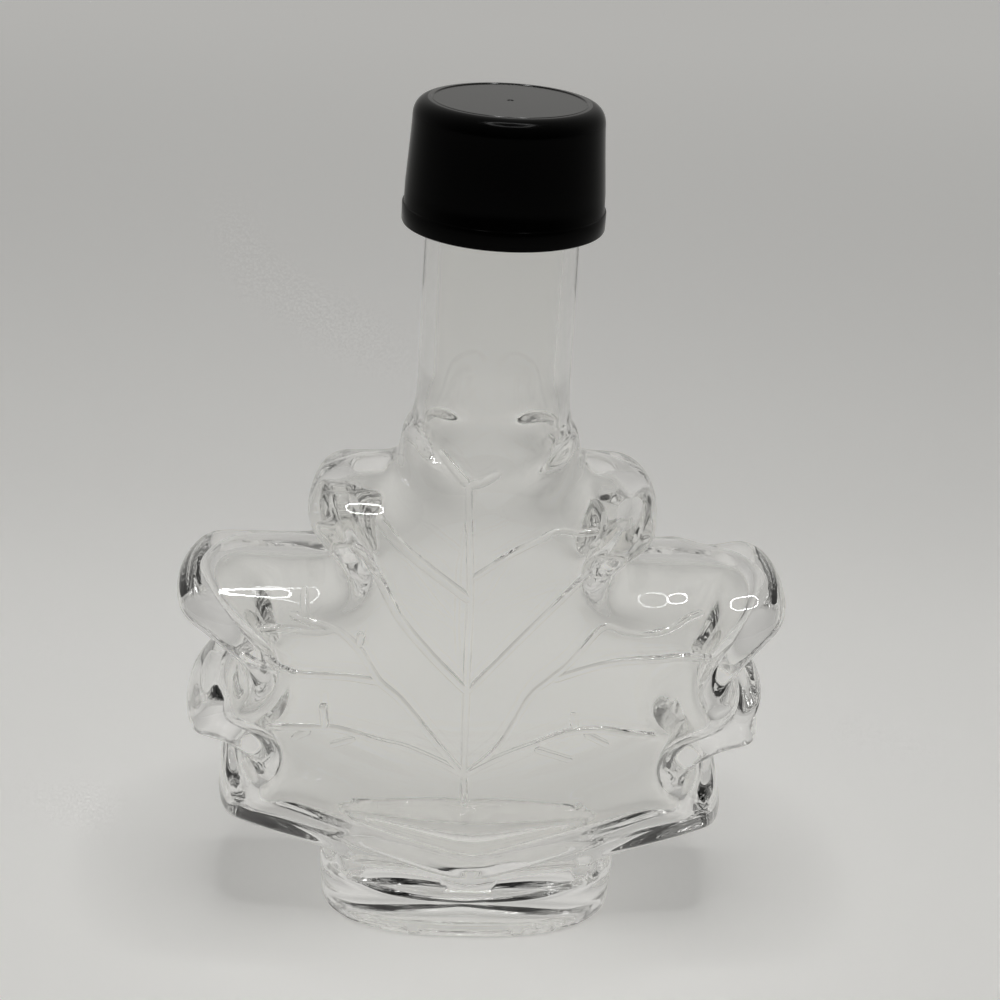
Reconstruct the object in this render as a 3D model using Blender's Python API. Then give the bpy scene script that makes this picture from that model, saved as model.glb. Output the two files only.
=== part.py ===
"""Maple leaf bottle: a hollow clear glass bottle in the shape of a maple leaf, with a black screw cap.

Metres, +Z up. The origin is the centre of the foot on the surface that the bottle stands on. The leaf
faces -Y and its mould seam lies in the plane Y = 0. The glass is one solid, open at the mouth, and the
cap is a second solid that sits on the neck with a small clearance.
"""
import math

import bmesh
import bpy
import numpy as np
from mathutils import Vector
from mathutils.geometry import delaunay_2d_cdt

MM = 0.001

# ---- Heights --------------------------------------------------------------------------------------
TOTAL_HEIGHT = 139.5 * MM
CAP_BOTTOM = 121.4 * MM
MOUTH_TOP = 137.4 * MM
FINISH_BOTTOM = 122.4 * MM
FOOT_TOP = 9.0 * MM

# ---- Leaf body ------------------------------------------------------------------------------------
HALF_WIDTH = 52.0 * MM
HALF_DEPTH = 14.0 * MM
LEAST_SHOULDER = 2.5 * MM
WIDEST_SHOULDER = 8.5 * MM
SHOULDER_POWER = 2.2
# Below this shallow V, given as (distance from the middle, z), both faces fold in.
FOLD = [(0.0, 13.1 * MM), (7.0 * MM, 15.8 * MM), (17.0 * MM, 20.6 * MM), (26.0 * MM, 25.2 * MM),
        (34.5 * MM, 28.1 * MM), (44.0 * MM, 31.2 * MM)]
# Depth lost for each unit below the fold, given as (distance from the middle, taper).
FOLD_TAPERS = [(0.0, 0.50), (17.0 * MM, 0.50), (26.0 * MM, 0.44), (34.5 * MM, 0.34), (44.0 * MM, 0.32)]
LEAST_HALF_DEPTH = 6.0 * MM
OUTLINE_STEP = 1.5 * MM
LAYER_DEPTHS = [0.2 * MM, 0.8 * MM, 1.8 * MM]
SHOULDER_SPACING = 2.3 * MM
FACE_SPACING = 7.0 * MM

# Corners of the leaf's outline at the seam, as (x, z, corner radius, shoulder width) in millimetres,
# where the shoulder is the rounded edge from the seam in to the flat face. Each side runs from the
# collar at the neck, over the upper, big, middle and lowest lobes, to the foot.
LEFT_CORNERS = [
    (-13.4, 90.5, 3.0, 8.5), (-14.6, 82.0, 2.0, 7.5), (-26.6, 82.0, 5.0, 8.5),
    (-28.7, 73.6, 3.5, 6.0), (-20.8, 65.8, 1.6, 3.2), (-29.2, 66.8, 3.5, 8.0),
    (-46.4, 66.8, 6.0, 8.5), (-50.2, 59.0, 4.5, 6.5), (-38.6, 51.2, 1.4, 2.6),
    (-38.8, 47.4, 1.4, 2.6), (-43.2, 47.8, 2.5, 3.0), (-47.8, 42.0, 3.0, 3.5),
    (-47.4, 37.6, 2.5, 4.5), (-41.0, 34.8, 2.0, 6.0), (-35.6, 33.2, 1.2, 3.0),
    (-42.0, 32.0, 1.5, 2.6), (-43.0, 20.8, 3.5, 4.0), (-23.0, 11.1, 1.5, 4.5),
    (-21.0, 5.0, 1.0, 4.5)]
RIGHT_CORNERS = [
    (13.4, 90.5, 3.0, 8.5), (14.6, 83.2, 2.0, 7.5), (26.0, 83.2, 7.0, 8.5), (27.5, 72.8, 4.0, 6.5),
    (16.8, 66.4, 1.6, 3.6), (28.0, 67.6, 3.0, 8.0), (32.6, 68.1, 3.0, 8.0), (38.2, 66.6, 3.0, 8.5),
    (46.2, 68.4, 5.0, 8.5), (50.9, 59.8, 5.5, 7.0), (42.0, 52.0, 2.0, 2.6), (41.6, 47.2, 1.4, 2.6),
    (48.8, 47.5, 2.5, 3.0), (45.6, 43.4, 2.0, 3.0), (48.2, 38.4, 2.5, 4.5), (40.2, 34.8, 2.0, 6.0),
    (33.6, 33.0, 1.2, 3.0), (40.8, 31.8, 1.5, 2.6), (43.5, 20.6, 3.5, 4.0), (23.0, 10.6, 1.5, 4.5),
    (21.0, 5.0, 1.0, 4.5)]

# ---- Hollow ---------------------------------------------------------------------------------------
FACE_WALL = 2.6 * MM
EDGE_WALL = 3.2 * MM
# The hollow's floor is a shallow V, given as (distance from the middle, z).
FLOOR = [(0.0, 9.6 * MM), (17.0 * MM, 15.2 * MM), (30.0 * MM, 20.0 * MM), (44.0 * MM, 23.5 * MM)]
FLOOR_ROUND = 6.0 * MM
CEILING = 85.5 * MM
CEILING_ROUND = 8.5 * MM
BORE_RADIUS = 9.2 * MM
CUT_PAST = 1.0 * MM            # how far a cutting solid runs past the glass

# ---- Neck -----------------------------------------------------------------------------------------
NECK_RADIUS = 11.4 * MM
NECK_FLARE = [(13.7 * MM, 84.0 * MM), (12.6 * MM, 89.5 * MM), (11.9 * MM, 93.5 * MM), (11.7 * MM, 97.0 * MM)]
NECK_ROOT_Z = 70.0 * MM        # the neck runs down into the leaf to here
FINISH_RADIUS = 12.3 * MM
FINISH_EASE = 0.6 * MM
LIP_ROUND = 0.8 * MM
ROUND_SIDES = 48

# ---- Foot -----------------------------------------------------------------------------------------
FOOT_HALF_WIDTH = 25.2 * MM
FOOT_HALF_DEPTH = 13.9 * MM
FOOT_FLARE = 0.4 * MM          # the foot is this much wider at its top
FOOT_POWER = 2.5
FOOT_SIDES = 72
HEEL_ROUND = 0.8 * MM
HEEL_WIDTH = 3.4 * MM          # from the foot's side to the edge of the push-up
PUSH_UP = 2.4 * MM

# ---- Cap ------------------------------------------------------------------------------------------
CAP_RADIUS = 15.0 * MM
CAP_STEP_Z = 124.3 * MM
CAP_STEP = 0.35 * MM
CAP_STEP_EASE = 0.25 * MM
CAP_RIM_OUTER = 0.4 * MM       # bevel outside the cap's bottom rim
CAP_RIM_INNER = 0.9 * MM       # and inside it
CAP_RIM_WIDTH = 0.8 * MM
CAP_TOP_RADIUS = 13.9 * MM
CAP_DISC_RADIUS = 11.2 * MM
CAP_SHOULDER = 2.6 * MM
CAP_CLEARANCE = 0.3 * MM
CAP_SIDES = 64

SMOOTH_ANGLE = math.radians(35.0)
GLASS_COLOUR = (0.90, 0.91, 0.89, 1.0)
CAP_COLOUR = (0.012, 0.012, 0.013, 1.0)


def clear_scene():
    """Remove every object that the scene starts with."""
    for thing in list(bpy.data.objects):
        bpy.data.objects.remove(thing)


def material(name, colour, roughness, transmission=0.0):
    """Make a Principled material."""
    made = bpy.data.materials.new(name)
    made.use_nodes = True
    shader = made.node_tree.nodes["Principled BSDF"]
    shader.inputs["Base Color"].default_value = colour
    shader.inputs["Roughness"].default_value = roughness
    shader.inputs["Metallic"].default_value = 0.0
    shader.inputs["Transmission Weight"].default_value = transmission
    return made


def add_object(name, mesh):
    """Put a mesh in the scene as a named object at the origin."""
    thing = bpy.data.objects.new(name, mesh)
    bpy.context.collection.objects.link(thing)
    return thing


def mesh_from_bmesh(name, bm):
    """Turn a bmesh into a mesh whose faces all point out."""
    bmesh.ops.recalc_face_normals(bm, faces=bm.faces)
    mesh = bpy.data.meshes.new(name)
    bm.to_mesh(mesh)
    bm.free()
    return mesh


def rounded_outline(corners, step):
    """Return the closed outline through corners of (x, z, radius, shoulder), with an arc at each one.

    The rows are x, z and shoulder width. Points on the straight stretches and on the arcs are about
    one step apart.
    """
    points = []
    count = len(corners)
    for index, (x, z, radius, shoulder) in enumerate(corners):
        here = np.array([x, z]) * MM
        before = np.array(corners[index - 1][:2]) * MM
        after = np.array(corners[(index + 1) % count][:2]) * MM
        into = (before - here) / np.linalg.norm(before - here)
        out = (after - here) / np.linalg.norm(after - here)
        half_angle = 0.5 * math.acos(float(np.clip(into @ out, -1.0, 1.0)))
        reach = radius * MM / math.tan(half_angle)
        reach = min(reach, 0.49 * np.linalg.norm(before - here), 0.49 * np.linalg.norm(after - here))
        arc_radius = reach * math.tan(half_angle)
        centre = here + (into + out) / np.linalg.norm(into + out) * arc_radius / math.sin(half_angle)
        start, end = here + into * reach, here + out * reach
        turn = math.pi - 2.0 * half_angle
        pieces = max(3, round(arc_radius * turn / step))
        first = start - centre
        last = end - centre
        for piece in range(pieces + 1):
            share = piece / pieces
            spread = math.sin(turn)
            weights = math.sin((1.0 - share) * turn) / spread, math.sin(share * turn) / spread
            point = centre + weights[0] * first + weights[1] * last
            points.append((point[0], point[1], shoulder * MM))
    return spaced_loop(np.array(points), step)


def spaced_loop(points, step):
    """Read a closed loop again at even steps along its length."""
    closed = np.vstack([points, points[:1]])
    lengths = np.concatenate([[0.0], np.cumsum(np.linalg.norm(np.diff(closed[:, :2], axis=0), axis=1))])
    count = round(lengths[-1] / step)
    places = np.linspace(0.0, lengths[-1], count, endpoint=False)
    return np.column_stack([np.interp(places, lengths, column) for column in closed.T])


def nearest_on(outline, points):
    """Return each point's distance to a closed outline and the shoulder width at the nearest place."""
    starts = outline[:, :2]
    edges = np.roll(starts, -1, axis=0) - starts
    offset = points[:, None, :2] - starts[None, :, :]
    share = np.clip((offset * edges).sum(axis=2) / (edges ** 2).sum(axis=1), 0.0, 1.0)
    distance = np.linalg.norm(offset - share[:, :, None] * edges, axis=2)
    nearest = distance.argmin(axis=1)
    rows = np.arange(len(points))
    widths, next_widths = outline[:, 2], np.roll(outline[:, 2], -1)
    shoulder = widths[nearest] + (next_widths - widths)[nearest] * share[rows, nearest]
    return distance[rows, nearest], shoulder


def depth_inside(outline, points):
    """Return each point's distance inside a closed outline, negative outside it."""
    distance, _ = nearest_on(outline, points)
    starts = outline[:, :2]
    edges = np.roll(starts, -1, axis=0) - starts
    ends = starts + edges
    crosses = (starts[:, 1] > points[:, 1:2]) != (ends[:, 1] > points[:, 1:2])
    rise = np.where(np.abs(edges[:, 1]) < 1e-12, 1e-12, edges[:, 1])
    meets = starts[:, 0] + (points[:, 1:2] - starts[:, 1]) * edges[:, 0] / rise
    inside = (crosses & (points[:, 0:1] < meets)).sum(axis=1) % 2 == 1
    return np.where(inside, distance, -distance)


def inward_normals(outline):
    """Return the unit normal at each point of a closed outline, towards its inside."""
    along = np.roll(outline, -1, axis=0)[:, :2] - np.roll(outline, 1, axis=0)[:, :2]
    normals = np.column_stack([along[:, 1], -along[:, 0]]) / np.linalg.norm(along, axis=1)[:, None]
    if depth_inside(outline, outline[:1, :2] + normals[:1] * 0.3 * MM)[0] < 0.0:
        return -normals
    return normals


def height_across(levels, x):
    """Read a height at each x from levels of (distance from the middle, z)."""
    reach, height = zip(*levels)
    return np.interp(np.abs(x), reach, height)


def half_depth_at(points, inside, shoulder, wall):
    """Return the leaf's half depth over points of its outline plane."""
    below = np.clip(height_across(FOLD, points[:, 0]) - points[:, 1], 0.0, None)
    full = np.maximum(HALF_DEPTH - wall - height_across(FOLD_TAPERS, points[:, 0]) * below, LEAST_HALF_DEPTH)
    share = np.clip(inside / np.maximum(shoulder - 0.5 * wall, LEAST_SHOULDER), 0.0, 1.0)
    return full * (1.0 - (1.0 - share) ** SHOULDER_POWER) ** (1.0 / SHOULDER_POWER)


def spread_out(points, kept, gap):
    """Add the points that lie at least a gap away from those kept so far."""
    for point in points:
        near = np.array(kept) - point
        if (near ** 2).sum(axis=1).min() >= gap * gap:
            kept.append(point)


def leaf_lump(name, outline, wall):
    """Build one closed pillow over an outline: flat faces front and back, with rounded edges."""
    normals = inward_normals(outline)
    kept = list(outline[:, :2])
    previous = 0.0
    for layer in LAYER_DEPTHS:
        ring = outline[:, :2] + normals * layer
        ring = ring[depth_inside(outline, ring) > 0.97 * layer]
        spread_out(ring, kept, 0.8 * min(layer - previous, OUTLINE_STEP))
        previous = layer
    fold_x = np.arange(-40.0, 40.1, 2.5) * MM
    fold = np.column_stack([fold_x, height_across(FOLD, fold_x)])
    spread_out(fold[depth_inside(outline, fold) > LAYER_DEPTHS[2]], kept, 0.6 * MM)
    low, high = outline.min(axis=0), outline.max(axis=0)
    for spacing, least, most in ((SHOULDER_SPACING, LAYER_DEPTHS[-1] + 0.6 * MM, WIDEST_SHOULDER),
                                 (FACE_SPACING, WIDEST_SHOULDER, HALF_WIDTH)):
        grid = np.array([(x, z) for z in np.arange(low[1], high[1], spacing)
                         for x in np.arange(low[0], high[0], spacing)])
        inside = depth_inside(outline, grid)
        spread_out(grid[(inside > least) & (inside <= most)], kept, 0.6 * spacing)

    flat = np.array(kept)
    count = len(outline)
    scale = 1.0 / MM
    result = delaunay_2d_cdt([Vector(point * scale) for point in flat], [], [list(range(count))], 1, 1e-6)
    places = np.array([tuple(point) for point in result[0]]) / scale
    inside, shoulder = nearest_on(outline, places)
    depth = np.where(inside < 1e-6, 0.0, half_depth_at(places, inside, shoulder, wall))

    bm = bmesh.new()
    front = [bm.verts.new((x, -y, z)) for (x, z), y in zip(places, depth)]
    back = [vert if y == 0.0 else bm.verts.new((vert.co.x, y, vert.co.z)) for vert, y in zip(front, depth)]
    for face in result[2]:
        if depth[list(face)].max() > 0.0:
            bm.faces.new([front[index] for index in face])
            bm.faces.new([back[index] for index in reversed(face)])
    return add_object(name, mesh_from_bmesh(name, bm))


def turned(name, profile, sides):
    """Spin a closed profile of (radius, z) points about the Z axis, as one solid."""
    bm = bmesh.new()
    verts = [bm.verts.new((radius, 0.0, z)) for radius, z in profile]
    edges = [bm.edges.new((verts[index], verts[index + 1])) for index in range(len(verts) - 1)]
    if profile[0][0] > 0.0 and profile[-1][0] > 0.0:
        edges.append(bm.edges.new((verts[-1], verts[0])))
    bmesh.ops.spin(bm, geom=verts + edges, axis=(0, 0, 1), cent=(0, 0, 0), angle=2.0 * math.pi,
                   steps=sides, use_merge=False, use_duplicate=False)
    bmesh.ops.remove_doubles(bm, verts=bm.verts, dist=0.01 * MM)
    return add_object(name, mesh_from_bmesh(name, bm))


def oval(half_width, half_depth, sides):
    """Return points round the foot's rounded-rectangle outline."""
    angles = np.linspace(0.0, 2.0 * math.pi, sides, endpoint=False)
    cosine, sine = np.cos(angles), np.sin(angles)
    power = 2.0 / FOOT_POWER
    return np.column_stack([half_width * np.sign(cosine) * np.abs(cosine) ** power,
                            half_depth * np.sign(sine) * np.abs(sine) ** power])


def oval_stack(name, levels):
    """Join ovals of (half width, half depth, z), lowest first, into one capped solid."""
    bm = bmesh.new()
    rings = [[bm.verts.new((x, y, z)) for x, y in oval(half_width, half_depth, FOOT_SIDES)]
             for half_width, half_depth, z in levels]
    for lower, upper in zip(rings, rings[1:]):
        for index in range(FOOT_SIDES):
            after = (index + 1) % FOOT_SIDES
            bm.faces.new((lower[index], lower[after], upper[after], upper[index]))
    bm.faces.new(list(reversed(rings[0])))
    bm.faces.new(rings[-1])
    return add_object(name, mesh_from_bmesh(name, bm))


def combine(target, tool, operation):
    """Apply a Boolean of one object to another and remove the tool."""
    modifier = target.modifiers.new(operation.title(), "BOOLEAN")
    modifier.operation = operation
    modifier.solver = "EXACT"
    modifier.object = tool
    graph = bpy.context.evaluated_depsgraph_get()
    mesh = bpy.data.meshes.new_from_object(target.evaluated_get(graph))
    target.modifiers.clear()
    target.data = mesh
    bpy.data.objects.remove(tool)


def leaf_outline():
    """Return the leaf's outline at the mould seam."""
    return rounded_outline(LEFT_CORNERS + RIGHT_CORNERS[::-1], OUTLINE_STEP)


def inset(outline, wall):
    """Return the outline that lies a wall's width inside another."""
    ring = outline[:, :2] + inward_normals(outline) * wall
    kept = depth_inside(outline, ring) > 0.98 * wall
    return spaced_loop(np.column_stack([ring, outline[:, 2]])[kept], OUTLINE_STEP)


def neck_profile():
    """Return the outer profile of the neck and its finish, up the axis and down the outside."""
    return [
        (0.0, NECK_ROOT_Z), (NECK_FLARE[0][0], NECK_ROOT_Z)] + NECK_FLARE + [
        (NECK_RADIUS, CAP_BOTTOM), (FINISH_RADIUS, FINISH_BOTTOM + FINISH_EASE),
        (FINISH_RADIUS, MOUTH_TOP - LIP_ROUND), (FINISH_RADIUS - LIP_ROUND, MOUTH_TOP), (0.0, MOUTH_TOP)]


def cap_profile():
    """Return the cap's section as one closed loop, down the inside and up the outside."""
    inner_radius = FINISH_RADIUS + CAP_CLEARANCE
    inner_top = MOUTH_TOP + CAP_CLEARANCE
    shoulder_z = TOTAL_HEIGHT - CAP_SHOULDER
    shoulder = []
    for piece in range(6):
        angle = 0.5 * math.pi * piece / 5
        shoulder.append((CAP_DISC_RADIUS + (CAP_TOP_RADIUS - CAP_DISC_RADIUS) * math.cos(angle),
                         shoulder_z + CAP_SHOULDER * math.sin(angle)))
    return [
        (0.0, inner_top), (inner_radius, inner_top), (inner_radius, CAP_BOTTOM + CAP_RIM_INNER),
        (CAP_RADIUS - CAP_RIM_OUTER - CAP_RIM_WIDTH, CAP_BOTTOM), (CAP_RADIUS - CAP_RIM_OUTER, CAP_BOTTOM),
        (CAP_RADIUS, CAP_BOTTOM + CAP_RIM_OUTER), (CAP_RADIUS, CAP_STEP_Z),
        (CAP_RADIUS - CAP_STEP, CAP_STEP_Z + CAP_STEP_EASE)] + shoulder + [(0.0, TOTAL_HEIGHT)]


def make_outer():
    """Build the outside of the glass: leaf, neck and foot."""
    outer = leaf_lump("bottle", leaf_outline(), 0.0)
    combine(outer, turned("neck", neck_profile(), ROUND_SIDES), "UNION")
    combine(outer, oval_stack("foot", [
        (FOOT_HALF_WIDTH - HEEL_ROUND, FOOT_HALF_DEPTH - HEEL_ROUND, 0.0),
        (FOOT_HALF_WIDTH - 0.3 * HEEL_ROUND, FOOT_HALF_DEPTH - 0.3 * HEEL_ROUND, 0.3 * HEEL_ROUND),
        (FOOT_HALF_WIDTH, FOOT_HALF_DEPTH, HEEL_ROUND),
        (FOOT_HALF_WIDTH + FOOT_FLARE, FOOT_HALF_DEPTH, FOOT_TOP)]), "UNION")
    return outer


def make_cavity():
    """Build the hollow inside the glass, up to and through the mouth."""
    outline = inset(leaf_outline(), EDGE_WALL)
    floor = height_across(FLOOR, outline[:, 0])
    outline[outline[:, 1] < floor, 2] = FLOOR_ROUND + 0.5 * FACE_WALL
    outline[outline[:, 1] > CEILING, 2] = CEILING_ROUND
    outline[:, 1] = np.clip(outline[:, 1], floor, CEILING)
    cavity = leaf_lump("cavity", spaced_loop(outline, OUTLINE_STEP), FACE_WALL)
    above = MOUTH_TOP + CUT_PAST
    bore = [(0.0, NECK_ROOT_Z), (BORE_RADIUS, NECK_ROOT_Z), (BORE_RADIUS, above), (0.0, above)]
    combine(cavity, turned("bore", bore, ROUND_SIDES), "UNION")
    return cavity


def make_push_up():
    """Build the shallow dome that is cut up into the foot."""
    levels = []
    for piece in range(5):
        angle = 0.5 * math.pi * piece / 5
        width = math.cos(angle)
        levels.append(((FOOT_HALF_WIDTH - HEEL_WIDTH) * width, (FOOT_HALF_DEPTH - HEEL_WIDTH) * width,
                       PUSH_UP * math.sin(angle)))
    below = (levels[0][0], levels[0][1], -CUT_PAST)
    return oval_stack("push_up", [below] + levels)


def finish(thing, surface):
    """Give a solid its material and smooth shading between its sharp edges."""
    thing.data.materials.clear()
    thing.data.materials.append(surface)
    thing.data.shade_smooth()
    thing.data.set_sharp_from_angle(angle=SMOOTH_ANGLE)


def main():
    """Build the glass bottle and its cap."""
    clear_scene()
    bottle = make_outer()
    combine(bottle, make_cavity(), "DIFFERENCE")
    combine(bottle, make_push_up(), "DIFFERENCE")
    finish(bottle, material("clear_glass", GLASS_COLOUR, 0.02, 1.0))
    cap = turned("cap", cap_profile(), CAP_SIDES)
    finish(cap, material("black_plastic", CAP_COLOUR, 0.25))


main()
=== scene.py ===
"""Looks of the maple leaf bottle: clear moulded glass with raised leaf veins, and a black screw cap."""
import logging
import math
from dataclasses import dataclass, field
from enum import Enum

import bpy
import numpy as np
from mathutils import Matrix, Vector


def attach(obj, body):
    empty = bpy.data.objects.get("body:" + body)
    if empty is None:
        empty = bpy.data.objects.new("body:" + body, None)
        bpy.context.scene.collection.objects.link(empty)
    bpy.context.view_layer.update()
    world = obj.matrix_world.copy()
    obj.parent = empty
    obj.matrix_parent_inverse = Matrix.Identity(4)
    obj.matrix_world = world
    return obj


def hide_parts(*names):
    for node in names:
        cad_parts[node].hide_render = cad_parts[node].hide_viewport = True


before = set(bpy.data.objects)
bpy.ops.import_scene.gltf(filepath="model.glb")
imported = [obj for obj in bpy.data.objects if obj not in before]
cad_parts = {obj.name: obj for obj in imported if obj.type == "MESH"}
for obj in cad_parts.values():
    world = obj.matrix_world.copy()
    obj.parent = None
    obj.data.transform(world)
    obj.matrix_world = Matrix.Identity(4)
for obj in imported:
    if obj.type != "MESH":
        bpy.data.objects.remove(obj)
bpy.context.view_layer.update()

MM = 0.001
TINY = 1e-9
LOG = logging.getLogger("leaf_bottle")

Colour = tuple[float, float, float, float]
Corner = tuple[float, float, float, float]
Levels = tuple[float, float, float, float]
Point2 = tuple[float, float]
Point3 = tuple[float, float, float]


class Wall(Enum):
    """The two skins of the glass."""

    OUTSIDE = "outside"
    HOLLOW = "hollow"


# ---- Modelling by operators -----------------------------------------------------------------------


def deselect() -> None:
    """Leave object mode ready for a new piece, with nothing selected."""
    if bpy.context.mode != "OBJECT":
        bpy.ops.object.mode_set(mode="OBJECT")
    bpy.ops.object.select_all(action="DESELECT")


def activate(piece: bpy.types.Object) -> None:
    """Make one piece the only selected and active one.

    Args:
        piece: the object to work on next.
    """
    deselect()
    piece.select_set(True)
    bpy.context.view_layer.objects.active = piece


def named(name: str) -> bpy.types.Object:
    """Name the active object and its mesh.

    Args:
        name: the name for both.

    Returns:
        The active object.
    """
    piece = bpy.context.active_object
    piece.name = name
    piece.data.name = name
    return piece


def settle_place(piece: bpy.types.Object) -> None:
    """Move a piece's place into its mesh, so that its object sits at the origin."""
    activate(piece)
    bpy.ops.object.transform_apply(location=True, rotation=True, scale=True)


def edit_all() -> None:
    """Go into edit mode with the whole mesh selected."""
    bpy.ops.object.mode_set(mode="EDIT")
    bpy.ops.mesh.select_all(action="SELECT")


def close_shell() -> None:
    """Turn every face of the edited mesh outwards and leave edit mode."""
    bpy.ops.mesh.select_all(action="SELECT")
    bpy.ops.mesh.normals_make_consistent(inside=False)
    bpy.ops.object.mode_set(mode="OBJECT")


def apply_modifier(piece: bpy.types.Object, kind: str, **settings: object) -> None:
    """Add one modifier to a piece and apply it.

    Args:
        piece: the object to change.
        kind: the modifier's type.
        settings: values for the modifier's own properties.
    """
    activate(piece)
    bpy.ops.object.modifier_add(type=kind)
    modifier = piece.modifiers[-1]
    for key, value in settings.items():
        setattr(modifier, key, value)
    bpy.ops.object.modifier_apply(modifier=modifier.name)


def fuse(piece: bpy.types.Object, other: bpy.types.Object, how: str) -> None:
    """Join another closed solid to a piece, or cut it away, and remove it."""
    apply_modifier(piece, "BOOLEAN", operation=how, solver="MANIFOLD", object=other)
    bpy.data.objects.remove(other)


def places(piece: bpy.types.Object) -> np.ndarray:
    """Read the places of a mesh's points.

    Args:
        piece: the object that has the mesh.

    Returns:
        One row of x, y and z in metres for each point.
    """
    flat = np.empty(len(piece.data.vertices) * 3, dtype=np.float64)
    piece.data.vertices.foreach_get("co", flat)
    return flat.reshape(-1, 3)


def move_to(piece: bpy.types.Object, spots: np.ndarray) -> None:
    """Put a mesh's points at new places."""
    piece.data.vertices.foreach_set("co", np.asarray(spots, dtype=np.float32).ravel())
    piece.data.update()


# ---- Form of the glass ----------------------------------------------------------------------------


@dataclass
class LeafOutline:
    """Outline of the leaf at the mould seam, in millimetres.

    Each side runs from the collar at the neck, over the upper, big, middle and lowest lobes, to the
    foot. A corner is its x, its z, the radius that rounds it, and the width of the rounded shoulder
    from the seam to the flat face there.
    """

    left: tuple[Corner, ...] = (
        (-13.4, 90.5, 3.0, 8.5), (-14.6, 82.0, 2.0, 7.5), (-26.6, 82.0, 5.0, 8.5), (-28.7, 73.6, 3.5, 6.0),
        (-20.8, 65.8, 1.6, 3.2), (-29.2, 66.8, 3.5, 8.0), (-46.4, 66.8, 6.0, 8.5), (-50.2, 59.0, 4.5, 6.5),
        (-38.6, 51.2, 1.4, 2.6), (-38.8, 47.4, 1.4, 2.6), (-43.2, 47.8, 2.5, 3.0), (-47.8, 42.0, 3.0, 3.5),
        (-47.4, 37.6, 2.5, 4.5), (-41.0, 34.8, 2.0, 6.0), (-35.6, 33.2, 1.2, 3.0), (-42.0, 32.0, 1.5, 2.6),
        (-43.0, 20.8, 3.5, 4.0), (-23.0, 11.1, 1.5, 4.5), (-21.0, 5.0, 1.0, 4.5))
    right: tuple[Corner, ...] = (
        (13.4, 90.5, 3.0, 8.5), (14.6, 83.2, 2.0, 7.5), (26.0, 83.2, 7.0, 8.5), (27.5, 72.8, 4.0, 6.5),
        (16.8, 66.4, 1.6, 3.6), (28.0, 67.6, 3.0, 8.0), (32.6, 68.1, 3.0, 8.0), (38.2, 66.6, 3.0, 8.5),
        (46.2, 68.4, 5.0, 8.5), (50.9, 59.8, 5.5, 7.0), (42.0, 52.0, 2.0, 2.6), (41.6, 47.2, 1.4, 2.6),
        (48.8, 47.5, 2.5, 3.0), (45.6, 43.4, 2.0, 3.0), (48.2, 38.4, 2.5, 4.5), (40.2, 34.8, 2.0, 6.0),
        (33.6, 33.0, 1.2, 3.0), (40.8, 31.8, 1.5, 2.6), (43.5, 20.6, 3.5, 4.0), (23.0, 10.6, 1.5, 4.5),
        (21.0, 5.0, 1.0, 4.5))
    arc_pieces: int = 7
    most_reach: float = 0.49

    def points(self) -> np.ndarray:
        """Round the corners of the closed outline.

        Returns:
            Rows of x, z and shoulder width, all the way round.
        """
        corners = self.left + self.right[::-1]
        path: list[np.ndarray] = []
        for index, (x, z, radius, shoulder) in enumerate(corners):
            here = np.array([x, z])
            before = np.array(corners[index - 1][:2]) - here
            after = np.array(corners[(index + 1) % len(corners)][:2]) - here
            reach_limit = self.most_reach * min(np.linalg.norm(before), np.linalg.norm(after))
            before /= np.linalg.norm(before)
            after /= np.linalg.norm(after)
            half = 0.5 * math.acos(float(np.clip(before @ after, -1.0, 1.0)))
            reach = min(radius / math.tan(half), reach_limit)
            arc = reach * math.tan(half)
            middle = before + after
            centre = here + middle / np.linalg.norm(middle) * arc / math.sin(half)
            first, last = here + before * reach - centre, here + after * reach - centre
            turn = math.pi - 2.0 * half
            for piece in range(self.arc_pieces + 1):
                share = piece / self.arc_pieces
                spot = centre + (math.sin((1.0 - share) * turn) * first
                                 + math.sin(share * turn) * last) / math.sin(turn)
                path.append(np.append(spot, shoulder))
        return np.array(path)

    def depth_inside(self, spots: np.ndarray) -> tuple[np.ndarray, np.ndarray]:
        """Return how far each spot lies inside the outline, and the shoulder width nearest to it.

        Args:
            spots: rows of x and z in millimetres.

        Returns:
            One distance for each row, negative outside the outline, and one width.
        """
        starts = self.points()
        ends = np.roll(starts, -1, axis=0)
        nearest = np.full(len(spots), np.inf)
        shoulder = np.zeros(len(spots))
        crossings = np.zeros(len(spots), dtype=int)
        for start, end in zip(starts, ends):
            edge = end[:2] - start[:2]
            length2 = float(edge @ edge)
            if length2 < TINY:
                continue
            offset = spots - start[:2]
            share = np.clip(offset @ edge / length2, 0.0, 1.0)
            gap2 = ((offset - share[:, None] * edge) ** 2).sum(axis=1)
            closer = gap2 < nearest
            nearest = np.where(closer, gap2, nearest)
            shoulder = np.where(closer, start[2] + (end[2] - start[2]) * share, shoulder)
            if abs(edge[1]) > TINY:
                straddles = (start[1] > spots[:, 1]) != (end[1] > spots[:, 1])
                meets = start[0] + (spots[:, 1] - start[1]) * edge[0] / edge[1]
                crossings += straddles & (spots[:, 0] < meets)
        distance = np.sqrt(nearest)
        return np.where(crossings % 2 == 1, distance, -distance), shoulder


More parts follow.
